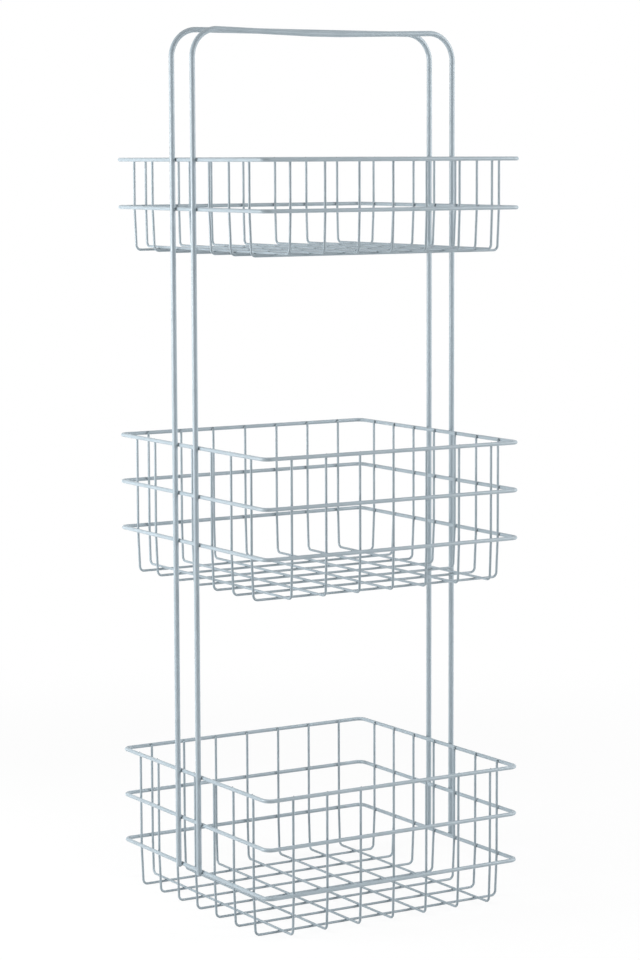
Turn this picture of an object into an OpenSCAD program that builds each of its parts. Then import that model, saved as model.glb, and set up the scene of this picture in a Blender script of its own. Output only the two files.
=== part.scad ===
// Wire shelf rack: three welded wire baskets on two bent rods, whose tops make a handle.
// The origin is on the ground under the middle of the rack. X runs along the width and Z is up.
// Wires that cross only touch, where the real ones are spot welded.

/* [Gauges] */
// Diameter of the two frame rods
rod_d = 5.5; // [4:0.1:8]
// Diameter of the rings round the baskets
ring_d = 4; // [3:0.1:5.5]
// Diameter of the basket wires
wire_d = 2.5; // [1.6:0.1:3.2]

/* [Baskets] */
// Width of a basket, between the centre lines of its rings' sides
basket_w = 300; // [220:1:400]
// Depth of a basket, measured the same way
basket_d = 300; // [220:1:400]
// Bend radius of a ring's corners, to its centre line
ring_corner_r = 8; // [6:0.5:25]
// Height from one ring to the next
ring_pitch = 49; // [30:0.5:60]
// Rings round the bottom basket
bottom_rings = 3; // [1:1:4]
// Rings round the middle basket
middle_rings = 3; // [1:1:4]
// Rings round the top basket, which is shallower
top_rings = 2; // [1:1:4]
// Height from the underside of a basket to its lowest ring
floor_drop = 45; // [25:0.5:60]

/* [Basket wires] */
// Wires that run each way through a basket
wire_count = 7; // [3:1:8]
// Distance from a ring's centre line to the nearest wire beside it
wire_margin = 32; // [27:0.1:45]
// Slope of a wire's legs below the lowest ring, in degrees from upright
wire_slope = 2.5; // [0.5:0.5:8]
// Bend radius where a wire turns into the floor, to its centre line
wire_bend_r = 5; // [3:0.5:12]
// Bend radius where a leg starts to slope inwards
wire_kink_r = 20; // [10:1:40]
// Height of a wire's cut ends above the centre of the top ring
wire_end = 0.5; // [0:0.1:3]

/* [Stand] */
// Clear height from the top ring of a basket to the underside of the next one
tier_gap = 193.3; // [120:0.1:260]
// Distance between the centre lines of the two rods, front to rear
rod_gap = 42.6; // [20:0.2:120]
// Depth of the rods' cut ends below the centre of the lowest ring
rod_end = 2.5; // [1:0.1:20]
// Height of the handle bars above the top ring of the top basket
handle_h = 129.4; // [70:0.1:200]
// Bend radius of the rods' top corners, to their centre line
handle_corner_r = 28; // [12:0.5:60]
// Drop of the front bar's middle below its ends
grip_dip = 4.2; // [0.4:0.2:10]
// Bend radius at the middle of the front bar
grip_bend_r = 600; // [200:10:900]

/* [Hidden] */
$fn = 48;
finish = "#a2b0b7";

TIERS = ["bottom", "middle", "top"];
ring_counts = [bottom_rings, middle_rings, top_rings];

// A basket's height, from its underside to the centre of its top ring
function basket_h(t) = floor_drop + (ring_counts[t] - 1) * ring_pitch;
// Height of a basket's underside above the ground
function floor_z(t) = t == 0 ? 0 : floor_z(t - 1) + basket_h(t - 1) + tier_gap;
// Height of ring k of a basket, where ring 0 is the lowest
function ring_z(t, k) = floor_z(t) + floor_drop + k * ring_pitch;
function rim_z(t) = ring_z(t, ring_counts[t] - 1);

// The rods touch the rings from outside and the wires touch them from inside
rod_x = basket_w / 2 + (ring_d + rod_d) / 2;
wire_inset = (ring_d + wire_d) / 2;
handle_z = rim_z(len(TIERS) - 1) + handle_h;

// A bend comes out this much thinner than straight rod, and its ends reach this far into it
bend_thinning = 0.02;
bend_seat = 0.1;

// Place of wire i across a span, where the outer wires keep their margin to the rings
function wire_place(span, i) = (i / (wire_count - 1) - 0.5) * (span - 2 * wire_margin);

function ring_name(t, k) = str(TIERS[t], "_basket_ring_", k + 1);
function width_wire_name(t, i) = str(TIERS[t], "_basket_width_wire_", i + 1);
function depth_wire_name(t, i) = str(TIERS[t], "_basket_depth_wire_", i + 1);

// Unit direction from one point to another, and its turn from +Z towards +X in degrees
function direction(a, b) = (b - a) / norm(b - a);
function heading(a, b) = atan2(b.x - a.x, b.y - a.y);
// The point before or after point i, where a list of points goes round
function beside(points, i, step) = points[(i + step + len(points)) % len(points)];
// Change of heading at point i, from -180 to 180 degrees
function turn(points, i) =
    let (change = heading(points[i], beside(points, i, 1)) - heading(beside(points, i, -1), points[i]))
        change - 360 * round(change / 360);
// Length of straight rod that the bend at point i takes up on each side
function bend_length(points, radii, i) = radii[i] == 0 ? 0 : radii[i] * tan(abs(turn(points, i)) / 2);

// A straight length of rod in the XZ plane, where points are [x, z]
module straight_rod(d, a, b) {
    translate([a.x, 0, a.y])
        rotate([0, heading(a, b), 0])
            cylinder(h = norm(b - a), d = d);
}

// The bend at point i, whose ends reach into the straight lengths beside it
module rod_bend(d, points, radii, i) {
    r = radii[i];
    before = beside(points, i, -1);
    start = points[i] - direction(before, points[i]) * bend_length(points, radii, i);
    seat = bend_seat / r * 180 / PI;
    translate([start.x, 0, start.y])
        rotate([0, heading(before, points[i]), 0])
            rotate([0, 0, turn(points, i) < 0 ? 180 : 0])
                translate([r, 0, 0])
                    rotate([-90, 0, 0])
                        rotate([0, 0, 180 - seat])
                            rotate_extrude(angle = abs(turn(points, i)) + 2 * seat)
                                translate([r, 0])
                                    circle(d = d - bend_thinning);
}

// A rod through points [x, z] with a bend of radii[i] at point i, where an end has none.
// A rod with a bend at its first point is closed.
module bent_rod(d, points, radii) {
    last = len(points) - 1;
    for (i = [0 : radii[0] > 0 ? last : last - 1]) {
        next = (i + 1) % len(points);
        along = direction(points[i], points[next]);
        start = points[i] + along * bend_length(points, radii, i);
        straight_rod(d, start, points[next] - along * bend_length(points, radii, next));
    }
    for (i = [0 : last])
        if (radii[i] > 0) rod_bend(d, points, radii, i);
}

// One frame rod: up the left side, across as a handle bar and down the right side
module frame_rod(y, points, radii) {
    foot_z = ring_z(0, 0) - rod_end;
    color(finish)
        translate([0, y, 0])
            bent_rod(
                rod_d,
                concat([[-rod_x, foot_z]], points, [[rod_x, foot_z]]),
                concat([0], radii, [0])
            );
}

module front_frame_rod() {
    frame_rod(
        -rod_gap / 2,
        [[-rod_x, handle_z], [0, handle_z - grip_dip], [rod_x, handle_z]],
        [handle_corner_r, grip_bend_r, handle_corner_r]
    );
}

module rear_frame_rod() {
    frame_rod(
        rod_gap / 2,
        [[-rod_x, handle_z], [rod_x, handle_z]],
        [handle_corner_r, handle_corner_r]
    );
}

// A closed ring with rounded corners, lying flat
module basket_ring(t, k) {
    x = basket_w / 2;
    y = basket_d / 2;
    color(finish)
        translate([0, 0, ring_z(t, k)])
            rotate([90, 0, 0])
                bent_rod(ring_d, [[-x, -y], [-x, y], [x, y], [x, -y]], [for (i = [1 : 4]) ring_corner_r]);
}

// A basket wire in the XZ plane: down one side, across the floor and up the other side
module basket_wire(t, span, floor_centre) {
    leg = span / 2 - wire_inset;
    top = rim_z(t) + wire_end;
    kink = ring_z(t, 0) - ring_d / 2 - wire_kink_r * tan(wire_slope / 2);
    foot = leg - (kink - floor_centre) * tan(wire_slope);
    color(finish)
        bent_rod(
            wire_d,
            [[-leg, top], [-leg, kink], [-foot, floor_centre], [foot, floor_centre], [leg, kink], [leg, top]],
            [0, wire_kink_r, wire_bend_r, wire_bend_r, wire_kink_r, 0]
        );
}

// Wires across the width lie lowest, and carry the basket
module width_wire(t, i) {
    translate([0, wire_place(basket_d, i), 0])
        basket_wire(t, basket_w, floor_z(t) + wire_d / 2);
}

// Wires through the depth lie on the others
module depth_wire(t, i) {
    translate([wire_place(basket_w, i), 0, 0])
        rotate([0, 0, 90])
            basket_wire(t, basket_d, floor_z(t) + wire_d * 3 / 2);
}

front_frame_rod();
rear_frame_rod();
for (t = [0 : len(TIERS) - 1]) {
    for (k = [0 : ring_counts[t] - 1])
        basket_ring(t, k);
    for (i = [0 : wire_count - 1]) {
        width_wire(t, i);
        depth_wire(t, i);
    }
}
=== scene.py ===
"""Wire shelf rack: three welded wire baskets between two bent rods, in a pale blue grey powder coat."""

import bpy
import numpy as np
from mathutils import Matrix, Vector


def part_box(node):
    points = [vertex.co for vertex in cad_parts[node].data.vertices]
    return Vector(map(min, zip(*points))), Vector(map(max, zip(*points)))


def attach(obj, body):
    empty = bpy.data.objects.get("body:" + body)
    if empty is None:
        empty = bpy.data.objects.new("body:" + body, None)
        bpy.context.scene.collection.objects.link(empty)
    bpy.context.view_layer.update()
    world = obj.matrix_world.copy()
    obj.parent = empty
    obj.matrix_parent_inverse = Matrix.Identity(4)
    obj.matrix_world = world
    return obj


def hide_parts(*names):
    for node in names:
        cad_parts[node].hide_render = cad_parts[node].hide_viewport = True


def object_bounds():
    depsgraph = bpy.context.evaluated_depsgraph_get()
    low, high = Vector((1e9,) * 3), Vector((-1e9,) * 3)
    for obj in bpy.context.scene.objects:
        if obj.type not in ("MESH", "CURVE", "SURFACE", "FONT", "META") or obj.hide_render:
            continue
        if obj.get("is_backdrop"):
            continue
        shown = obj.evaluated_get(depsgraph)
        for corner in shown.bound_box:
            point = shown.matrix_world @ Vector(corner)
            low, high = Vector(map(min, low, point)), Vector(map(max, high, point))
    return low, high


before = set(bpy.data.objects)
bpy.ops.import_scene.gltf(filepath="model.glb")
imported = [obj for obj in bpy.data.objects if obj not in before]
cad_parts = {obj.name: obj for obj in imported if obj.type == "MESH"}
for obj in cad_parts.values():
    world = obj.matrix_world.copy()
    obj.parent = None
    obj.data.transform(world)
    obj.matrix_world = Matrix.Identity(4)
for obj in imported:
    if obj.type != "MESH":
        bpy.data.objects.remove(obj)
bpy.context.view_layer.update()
MM = 0.001

# The camera stands in front of the rack's left corner, 3 m away with a long lens, so that the
# rack's uprights stay parallel. Its place and lens were fitted to the photograph.
camera_place = (-1528.0 * MM, -2493.9 * MM, 773.2 * MM)
camera_turn = 31.57
camera_tilt = 6.58
camera_roll = -0.21
camera_sensor = 36.0
camera_far_end = 60
photo_focal_px = 2838.5
photo_height_px = 960

camera_data = bpy.data.cameras.new("photograph_view")
camera_data.sensor_width = camera_sensor
camera_data.lens = photo_focal_px / photo_height_px * camera_sensor
camera_data.clip_end = camera_far_end
camera = bpy.data.objects.new("photograph_view", camera_data)
camera.location = camera_place
turned = Matrix.Rotation(np.radians(-camera_turn), 4, "Z")
tilted = Matrix.Rotation(np.radians(90 - camera_tilt), 4, "X")
rolled = Matrix.Rotation(np.radians(camera_roll), 4, "Z")
camera.rotation_euler = (turned @ tilted @ rolled).to_euler()
bpy.context.scene.collection.objects.link(camera)
bpy.context.scene.camera = camera
bpy.context.scene.view_settings.view_transform = "Standard"


# The two frame rods are 5.5 mm steel rod, each bent cold into an inverted U and welded to the
# outside of every ring. Their tops side by side are the handle, and the front one was bent to dip
# a little in its middle. The whole rack was then coated with one polyester powder.
coat_colour = "#a1afb7"
coat_thick_colour = "#a8b5bd"
coat_roughness = 0.34
coat_roughness_spread = 0.05
coat_ior = 1.5
coat_cloud_mm = 22
orange_peel_mm = 1.6
orange_peel_depth = 0.05 * MM
orange_peel_strength = 0.22
# Values of the noise between which a cloud thickens, and between which the gloss changes
cloud_low, cloud_high = 0.35, 0.7
orange_peel_low, orange_peel_high = 0.3, 0.7

rod_gauge = 5.5 * MM
rod_corner_r = 28 * MM
grip_dip = 4.2 * MM
grip_bend_r = 600 * MM
rod_end_round = 0.9 * MM
rod_sides = 28
bend_step = np.radians(6)
end_round_steps = 5
AXES = np.eye(3)
X, Y, Z = AXES


def linear(hex_colour):
    """Linear RGBA of an sRGB hex colour, by the sRGB curve on each channel."""
    srgb = np.array([int(hex_colour[i:i + 2], 16) for i in (1, 3, 5)]) / 255
    rgb = np.where(srgb <= 0.04045, srgb / 12.92, ((srgb + 0.055) / 1.055) ** 2.4)
    return (*rgb, 1.0)


def add_node(tree, kind, links=None, inputs=None, **settings):
    """A node of this kind with its settings, its own input values and links into its inputs."""
    node = tree.nodes.new(kind)
    for name, value in settings.items():
        setattr(node, name, value)
    for name, value in (inputs or {}).items():
        node.inputs[name].default_value = value
    for name, source in (links or {}).items():
        tree.links.new(source, node.inputs[name])
    return node


def polyester_powder_coat(name, thin_colour, thick_colour, cloud_mm):
    """Sprayed and baked polyester powder, satin: one even colour with soft highlights.

    Where the powder lies thicker it is a little paler, in clouds cloud_mm apart. The orange peel
    is as fine and as flat as on the real coat, and makes the gloss waver close up."""
    material = bpy.data.materials.new(name)
    material.use_nodes = True
    tree = material.node_tree
    tree.nodes.clear()
    place = add_node(tree, "ShaderNodeTexCoord").outputs["Object"]
    peel = add_node(tree, "ShaderNodeTexNoise", {"Vector": place},
                    {"Scale": 1 / (orange_peel_mm * MM), "Detail": 2.0, "Roughness": 0.45})
    cloud = add_node(tree, "ShaderNodeTexNoise", {"Vector": place},
                     {"Scale": 1 / (cloud_mm * MM), "Detail": 3.0, "Roughness": 0.55})
    colour = add_node(tree, "ShaderNodeValToRGB", {"Fac": cloud.outputs["Fac"]})
    thin_end, thick_end = colour.color_ramp.elements
    thin_end.position = cloud_low
    thin_end.color = linear(thin_colour)
    thick_end.position = cloud_high
    thick_end.color = linear(thick_colour)
    gloss = add_node(tree, "ShaderNodeMapRange", {"Value": peel.outputs["Fac"]},
                     {"From Min": orange_peel_low, "From Max": orange_peel_high,
                      "To Min": coat_roughness - coat_roughness_spread,
                      "To Max": coat_roughness + coat_roughness_spread})
    bump = add_node(tree, "ShaderNodeBump", {"Height": peel.outputs["Fac"]},
                    {"Strength": orange_peel_strength, "Distance": orange_peel_depth})
    coat = add_node(tree, "ShaderNodeBsdfPrincipled",
                    {"Base Color": colour.outputs["Color"], "Roughness": gloss.outputs["Result"],
                     "Normal": bump.outputs["Normal"]},
                    {"IOR": coat_ior, "Metallic": 0.0})
    add_node(tree, "ShaderNodeOutputMaterial", {"Surface": coat.outputs["BSDF"]})
    return material


powder_coat = polyester_powder_coat("polyester_powder_coat_satin", coat_colour, coat_thick_colour,
                                    coat_cloud_mm)


def bent_line(corners, radii):
    """Points and directions along a rod that runs from corner to corner and bends at each.

    A bend of radius r starts r tan(turn / 2) before its corner. Its point at angle t is
    start + r (sin t u + (1 - cos t) n), where u is the way in and n the side it turns to.
    A corner with no radius is a cut end."""
    corners = np.array(corners, float)
    points, ways = [], []
    for before, corner, after, r in zip(np.roll(corners, 1, 0), corners, np.roll(corners, -1, 0), radii):
        way_in = (corner - before) / np.linalg.norm(corner - before)
        way_out = (after - corner) / np.linalg.norm(after - corner)
        if r == 0:
            ways.append((way_in if points else way_out)[None])
            points.append(corner[None])
            continue
        turn = np.arctan2(way_in[0] * way_out[1] - way_in[1] * way_out[0], way_in @ way_out)
        side = np.sign(turn) * np.array([-way_in[1], way_in[0]])
        t = np.linspace(0, abs(turn), 2 + int(abs(turn) / bend_step))[:, None]
        start = corner - way_in * r * np.tan(abs(turn) / 2)
        points.append(start + r * (np.sin(t) * way_in + (1 - np.cos(t)) * side))
        ways.append(np.cos(t) * way_in + np.sin(t) * side)
    return np.concatenate(points), np.concatenate(ways)


def round_off(points, ways, radius, edge):
    """Points, directions and radii along an open rod, with a quarter round at both cut ends.

    At angle t of the round, a section lies edge (1 - sin t) short of the end and its radius is
    smaller by edge (1 - cos t), so that a smaller flat face is left."""
    t = np.linspace(0, np.pi / 2, end_round_steps)[:, None]
    first = points[0] + ways[0] * edge * (1 - np.sin(t))
    last = points[-1] - ways[-1] * edge * (1 - np.sin(t))
    shrunk = radius - edge * (1 - np.cos(t[:, 0]))
    stations = np.concatenate([first[::-1], points[1:-1], last])
    directions = np.concatenate([np.repeat(ways[:1], end_round_steps, 0), ways[1:-1],
                                 np.repeat(ways[-1:], end_round_steps, 0)])
    radii = np.concatenate([shrunk[::-1], np.full(len(points) - 2, radius), shrunk])
    return stations, directions, radii


def coated_mesh(name, corners, round_faces, flat_faces, coat, nodes=()):
    """A piece from its points and faces, with its powder coat. It stands for these nodes."""
    mesh = bpy.data.meshes.new(name)
    mesh.from_pydata(corners.reshape(-1, 3).tolist(), [], round_faces + flat_faces)
    mesh.polygons.foreach_set("use_smooth", [True] * len(round_faces) + [False] * len(flat_faces))
    mesh.materials.append(coat)
    mesh.update()
    piece = bpy.data.objects.new(name, mesh)
    bpy.context.scene.collection.objects.link(piece)
    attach(piece, "root")
    if nodes:
        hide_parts(*nodes)


def coated_rod(node, coat, line, plane, sides, closed=False):
    """A round rod that was bent in a plane, from its line there: points, directions and radii.

    The plane is an origin and its directions across and up, so a point (a, b) is
    origin + a across + b up. The surface is that + radius (cos t normal + sin t side), where t
    goes round the rod, normal is square to the plane, and side to normal and the rod."""
    points, ways, radii = line
    origin, across, up = plane
    normal = np.cross(across, up)
    stations = origin + points @ np.array([across, up])
    side = np.cross(normal, ways @ np.array([across, up]))
    t = np.linspace(0, 2 * np.pi, sides, endpoint=False)[None, :, None]
    around = np.cos(t) * normal + np.sin(t) * side[:, None]
    corners = stations[:, None] + radii[:, None, None] * around
    count = len(stations)
    i, j = np.meshgrid(np.arange(count if closed else count - 1), np.arange(sides), indexing="ij")
    after, beside = (i + 1) % count, (j + 1) % sides
    quads = np.stack([i * sides + j, after * sides + j, after * sides + beside, i * sides + beside], -1)
    section = np.arange(sides)
    cut_ends = np.stack([section, section[::-1] + (count - 1) * sides])
    coated_mesh(node + "_coated", corners, quads.reshape(-1, 4).tolist(),
                [] if closed else cut_ends.tolist(), coat, [node])


for node, dip in (("front_frame_rod", grip_dip), ("rear_frame_rod", 0)):
    low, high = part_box(node)
    leg = high.x - rod_gauge / 2
    # The box ends at the top of the corner bends, which the dip's slope puts a little below the corner
    slope = np.arctan(dip / leg)
    bar_z = high.z - rod_gauge / 2 + rod_corner_r * (np.tan(np.pi / 4 + slope / 2) - 1)
    corners = [(-leg, low.z), (-leg, bar_z), (0, bar_z - dip), (leg, bar_z), (leg, low.z)]
    bends = [0, rod_corner_r, grip_bend_r, rod_corner_r, 0]
    if dip == 0:
        corners.pop(2)
        bends.pop(2)
    line = round_off(*bent_line(corners, bends), rod_gauge / 2, rod_end_round)
    coated_rod(node, powder_coat, line, ((low.y + high.y) / 2 * Y, X, Z), rod_sides)


# Eight rings of 4 mm wire run round the baskets, three each for the lower two and two for the
# shallow top one. Each is bent to a square with rounded corners and butt welded into a loop.
ring_gauge = 4.0 * MM
ring_corner_r = 8 * MM
ring_sides = 20
ring_count = {tier: sum(node.startswith(f"{tier}_basket_ring_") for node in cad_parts)
              for tier in ("bottom", "middle", "top")}

ring_heights = {}
for tier, count in ring_count.items():
    ring_heights[tier] = []
    for number in range(1, count + 1):
        node = f"{tier}_basket_ring_{number}"
        low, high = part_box(node)
        height = (low.z + high.z) / 2
        ring_heights[tier].append(height)
        half_w, half_d = high.x - ring_gauge / 2, high.y - ring_gauge / 2
        corners = [(-half_w, -half_d), (half_w, -half_d), (half_w, half_d), (-half_w, half_d)]
        points, ways = bent_line(corners, [ring_corner_r] * len(corners))
        line = points, ways, np.full(len(points), ring_gauge / 2)
        coated_rod(node, powder_coat, line, (height * Z, X, Y), ring_sides, closed=True)


# Seven 2.5 mm wires run each way through a basket. Each is bent to a U, spot welded inside the
# rings and cut off level with the rim, and its legs lean in a little below the lowest ring. Those
# across the width lie lowest, and those through the depth are welded on top of them.
wire_gauge = 2.5 * MM
wire_lean = np.radians(2.5)
wire_bend_r = 5 * MM
wire_kink_r = 20 * MM
wire_end_round = 0.35 * MM
wire_sides = 14
wire_count = sum(node.startswith("bottom_basket_width_wire_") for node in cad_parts)

# The wires' coat is a little darker than that of the rods and rings
wire_thin_colour = "#96a4ac"
wire_thick_colour = "#9daab2"
wire_coat = polyester_powder_coat("darker_powder_coat_on_wires", wire_thin_colour, wire_thick_colour,
                                  coat_cloud_mm)

# A wire runs along the first of its two axes, and the wires of its way stand in a row along the
# second. Each one's place in the row, its reach to a leg and its underside are kept for its welds.
wire_axes = {"width": (0, 1), "depth": (1, 0)}
wire_places = {}
for tier, heights in ring_heights.items():
    kink_z = heights[0] - ring_gauge / 2 - wire_kink_r * np.tan(wire_lean / 2)
    for way, (run, row) in wire_axes.items():
        wire_places[tier, way] = []
        for number in range(1, wire_count + 1):
            node = f"{tier}_basket_{way}_wire_{number}"
            low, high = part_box(node)
            place = (low[row] + high[row]) / 2
            leg = high[run] - wire_gauge / 2
            wire_places[tier, way].append((place, leg, low.z))
            floor_z = low.z + wire_gauge / 2
            foot = leg - (kink_z - floor_z) * np.tan(wire_lean)
            corners = [(-leg, high.z), (-leg, kink_z), (-foot, floor_z),
                       (foot, floor_z), (leg, kink_z), (leg, high.z)]
            bends = [0, wire_kink_r, wire_bend_r, wire_bend_r, wire_kink_r, 0]
            line = round_off(*bent_line(corners, bends), wire_gauge / 2, wire_end_round)
            coated_rod(node, wire_coat, line, (place * AXES[row], AXES[run], Z), wire_sides)


# Every crossing is a spot weld: the two round bars were pressed together and melted where they
# touched. What shows is a small hollow fillet. Its coat is painted darker than the bars, as painted
# shade for the crevice where the bars meet.
weld_shade_thin_colour = "#65727a"
weld_shade_thick_colour = "#8a989f"
weld_cloud_mm = 2.5
# A darker copy of the powder coat, painted shade for the crevices at the welds
weld_shade_coat = polyester_powder_coat("spot_weld_painted_shade", weld_shade_thin_colour, weld_shade_thick_colour,
                                  weld_cloud_mm)

rod_fillet_r = 0.9 * MM
ring_fillet_r = 0.55 * MM
floor_fillet_r = 0.5 * MM
weld_sides = 12
weld_levels = 5
weld_hollow = 0.14
weld_sunk = 0.12 * MM


def welds(lower_r, upper_r, fillet_r, places, lower_way, upper_way, out):
    """Fillets where bars cross square, one at each place, where their surfaces touch.

    A round of radius f that touches a bar's flat line and the other bar of radius r touches the
    line 2 sqrt(r f) from the crossing, and the other bar at r / (r + f) of that. So each end of
    the fillet is an oval on its bar, and sunk into it a little. The surface between the ovals is
    drawn in by a parabola, most at its middle."""
    r = np.array([upper_r, lower_r])
    reach = 2 * np.sqrt(r * fillet_r)
    back = r / (r + fillet_r)
    a = np.linspace(0, 2 * np.pi, weld_sides, endpoint=False)
    level = np.linspace(0, 1, weld_levels)[:, None]
    oval = (1 - level)[..., None] * (reach * (1, back[1])) + level[..., None] * (reach * (back[0], 1))
    u, v = oval[..., 0] * np.cos(a), oval[..., 1] * np.sin(a)
    on_lower = np.sqrt(lower_r ** 2 - (reach[1] * back[1] * np.sin(a)) ** 2) - lower_r - weld_sunk
    on_upper = upper_r - np.sqrt(upper_r ** 2 - (reach[0] * back[0] * np.cos(a)) ** 2) + weld_sunk
    w = (1 - level) * on_lower + level * on_upper
    hollow = 1 - weld_hollow * 4 * level * (1 - level)
    shape = np.stack([u * hollow, v * hollow, w], -1).reshape(-1, 3)
    return np.array(places)[:, None] + shape @ np.array([lower_way, upper_way, out])


def weld_piece(name, groups):
    """The fillets of these groups as one piece. Each is a sleeve that is closed inside the bars."""
    corners = np.concatenate(groups)
    i, j = np.meshgrid(np.arange(weld_levels - 1), np.arange(weld_sides), indexing="ij")
    above, beside = i + 1, (j + 1) % weld_sides
    quads = np.stack([i * weld_sides + j, i * weld_sides + beside,
                      above * weld_sides + beside, above * weld_sides + j], -1).reshape(-1, 4)
    oval = np.arange(weld_sides)
    ends = np.stack([oval[::-1], oval + (weld_levels - 1) * weld_sides])
    first = np.arange(len(corners))[:, None, None] * weld_levels * weld_sides
    faces = (quads + first).reshape(-1, 4).tolist() + (ends + first).reshape(-1, weld_sides).tolist()
    coated_mesh(name, corners, faces, [], weld_shade_coat)


rod_welds = []
for tier, heights in ring_heights.items():
    ring_welds = []
    for way, (run, row) in wire_axes.items():
        for side in (-1, 1):
            touch = [place * AXES[row] + side * (leg + wire_gauge / 2) * AXES[run] + z * Z
                     for place, leg, _ in wire_places[tier, way] for z in heights]
            inwards = -side * AXES[run]
            ring_welds.append(welds(ring_gauge / 2, wire_gauge / 2, ring_fillet_r, touch,
                                    np.cross(Z, inwards), Z, inwards))
    weld_piece(f"{tier}_basket_ring_welds", ring_welds)
    touch = [(x, y, underside) for x, _, underside in wire_places[tier, "depth"]
             for y, _, _ in wire_places[tier, "width"]]
    floor_welds = welds(wire_gauge / 2, wire_gauge / 2, floor_fillet_r, touch, X, Y, Z)
    weld_piece(f"{tier}_basket_floor_welds", [floor_welds])
    for node in ("front_frame_rod", "rear_frame_rod"):
        low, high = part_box(node)
        for side in (-1, 1):
            touch = [(side * (high.x - rod_gauge), (low.y + high.y) / 2, z) for z in heights]
            rod_welds.append(welds(ring_gauge / 2, rod_gauge / 2, rod_fillet_r, touch,
                                   side * Y, Z, side * X))
weld_piece("frame_rod_welds", rod_welds)


# The floor is a plain sheet of matt white paper. To the camera and in the coat's gloss it is part
# glow of strength 1, the white of the background, and part paper, which keeps the rack's soft
# shadow. The share of glow grows with the distance, so that the floor runs into the background.
paper_white = "#f4f4f4"
background_white = "#ffffff"
glow_near = 0.87
glow_starts = 500 * MM
glow_full = 1400 * MM
floor_half = 20

floor_corners = [(-floor_half, -floor_half, 0), (floor_half, -floor_half, 0),
                 (floor_half, floor_half, 0), (-floor_half, floor_half, 0)]
floor_mesh = bpy.data.meshes.new("white_floor")
floor_mesh.from_pydata(floor_corners, [], [(0, 1, 2, 3)])
floor = bpy.data.objects.new("white_floor", floor_mesh)
bpy.context.scene.collection.objects.link(floor)
floor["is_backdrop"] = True


def seen_ray(tree):
    """1 on rays from the camera, in a gloss or through glass, and 0 on those that light the rack."""
    ray = add_node(tree, "ShaderNodeLightPath").outputs
    seen = ray["Is Camera Ray"]
    for kind in ("Is Glossy Ray", "Is Transmission Ray"):
        larger = add_node(tree, "ShaderNodeMath", {0: seen, 1: ray[kind]}, operation="MAXIMUM")
        seen = larger.outputs["Value"]
    return seen


matt_paper = bpy.data.materials.new("matt_white_paper")
matt_paper.use_nodes = True
tree = matt_paper.node_tree
tree.nodes.clear()
seen = seen_ray(tree)
shade = add_node(tree, "ShaderNodeMapRange", {"Value": seen},
                 {"To Min": linear(paper_white)[0], "To Max": linear(background_white)[0]})
paper = add_node(tree, "ShaderNodeBsdfDiffuse", {"Color": shade.outputs["Result"]})
from_middle = add_node(tree, "ShaderNodeTexCoord").outputs["Object"]
distance = add_node(tree, "ShaderNodeVectorMath", {0: from_middle}, operation="LENGTH")
growing = add_node(tree, "ShaderNodeMapRange", {"Value": distance.outputs["Value"]},
                   {"From Min": glow_starts, "From Max": glow_full, "To Min": glow_near, "To Max": 1.0},
                   interpolation_type="SMOOTHSTEP")
share = add_node(tree, "ShaderNodeMath", {0: seen, 1: growing.outputs["Result"]}, operation="MULTIPLY")
glow = add_node(tree, "ShaderNodeEmission",
                inputs={"Color": linear(background_white), "Strength": 1.0})
lit = add_node(tree, "ShaderNodeMixShader",
               {0: share.outputs["Value"], 1: paper.outputs["BSDF"], 2: glow.outputs["Emission"]})
add_node(tree, "ShaderNodeOutputMaterial", {"Surface": lit.outputs["Shader"]})
floor_mesh.materials.append(matt_paper)


# Studio light: a white room all round, a soft box close by on the photograph's left, a larger one
# further off on its right, and one overhead. The two at the sides pale the flanks of every rod and
# leave its middle darker, and the left one throws each upright's shadow on the ring beside it.
room_level = 0.2
softboxes = {
    "left_softbox": {"watts": 17.3, "size": 0.6, "place": (-1.22, 0.38, 0.66), "target": (0, 0, 0.58)},
    "right_softbox": {"watts": 40.5, "size": 1.2, "place": (1.77, -1.31, 1.15), "target": (0, 0, 0.5)},
    "top_softbox": {"watts": 55, "size": 3.0, "place": (-0.4, -0.6, 5.0), "target": (0, 0, 0.4)},
}

world = bpy.data.worlds.new("white_room")
world.use_nodes = True
tree = world.node_tree
tree.nodes.clear()
strength = add_node(tree, "ShaderNodeMapRange", {"Value": seen_ray(tree)},
                    {"To Min": room_level, "To Max": 1.0})
room = add_node(tree, "ShaderNodeBackground", {"Strength": strength.outputs["Result"]},
                {"Color": linear(background_white)})
add_node(tree, "ShaderNodeOutputWorld", {"Surface": room.outputs["Background"]})
bpy.context.scene.world = world

for name, box in softboxes.items():
    lamp = bpy.data.lights.new(name, "AREA")
    lamp.shape = "SQUARE"
    lamp.size = box["size"]
    lamp.energy = box["watts"]
    softbox = bpy.data.objects.new(name, lamp)
    softbox.location = box["place"]
    softbox.visible_camera = False
    # A lamp shines down its own -Z, so it is tipped up from there and then turned to its target
    aim = np.array(box["target"]) - np.array(box["place"])
    softbox.rotation_euler = (np.arctan2(np.hypot(aim[0], aim[1]), -aim[2]), 0, np.arctan2(-aim[0], aim[1]))
    bpy.context.scene.collection.objects.link(softbox)

low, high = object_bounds()
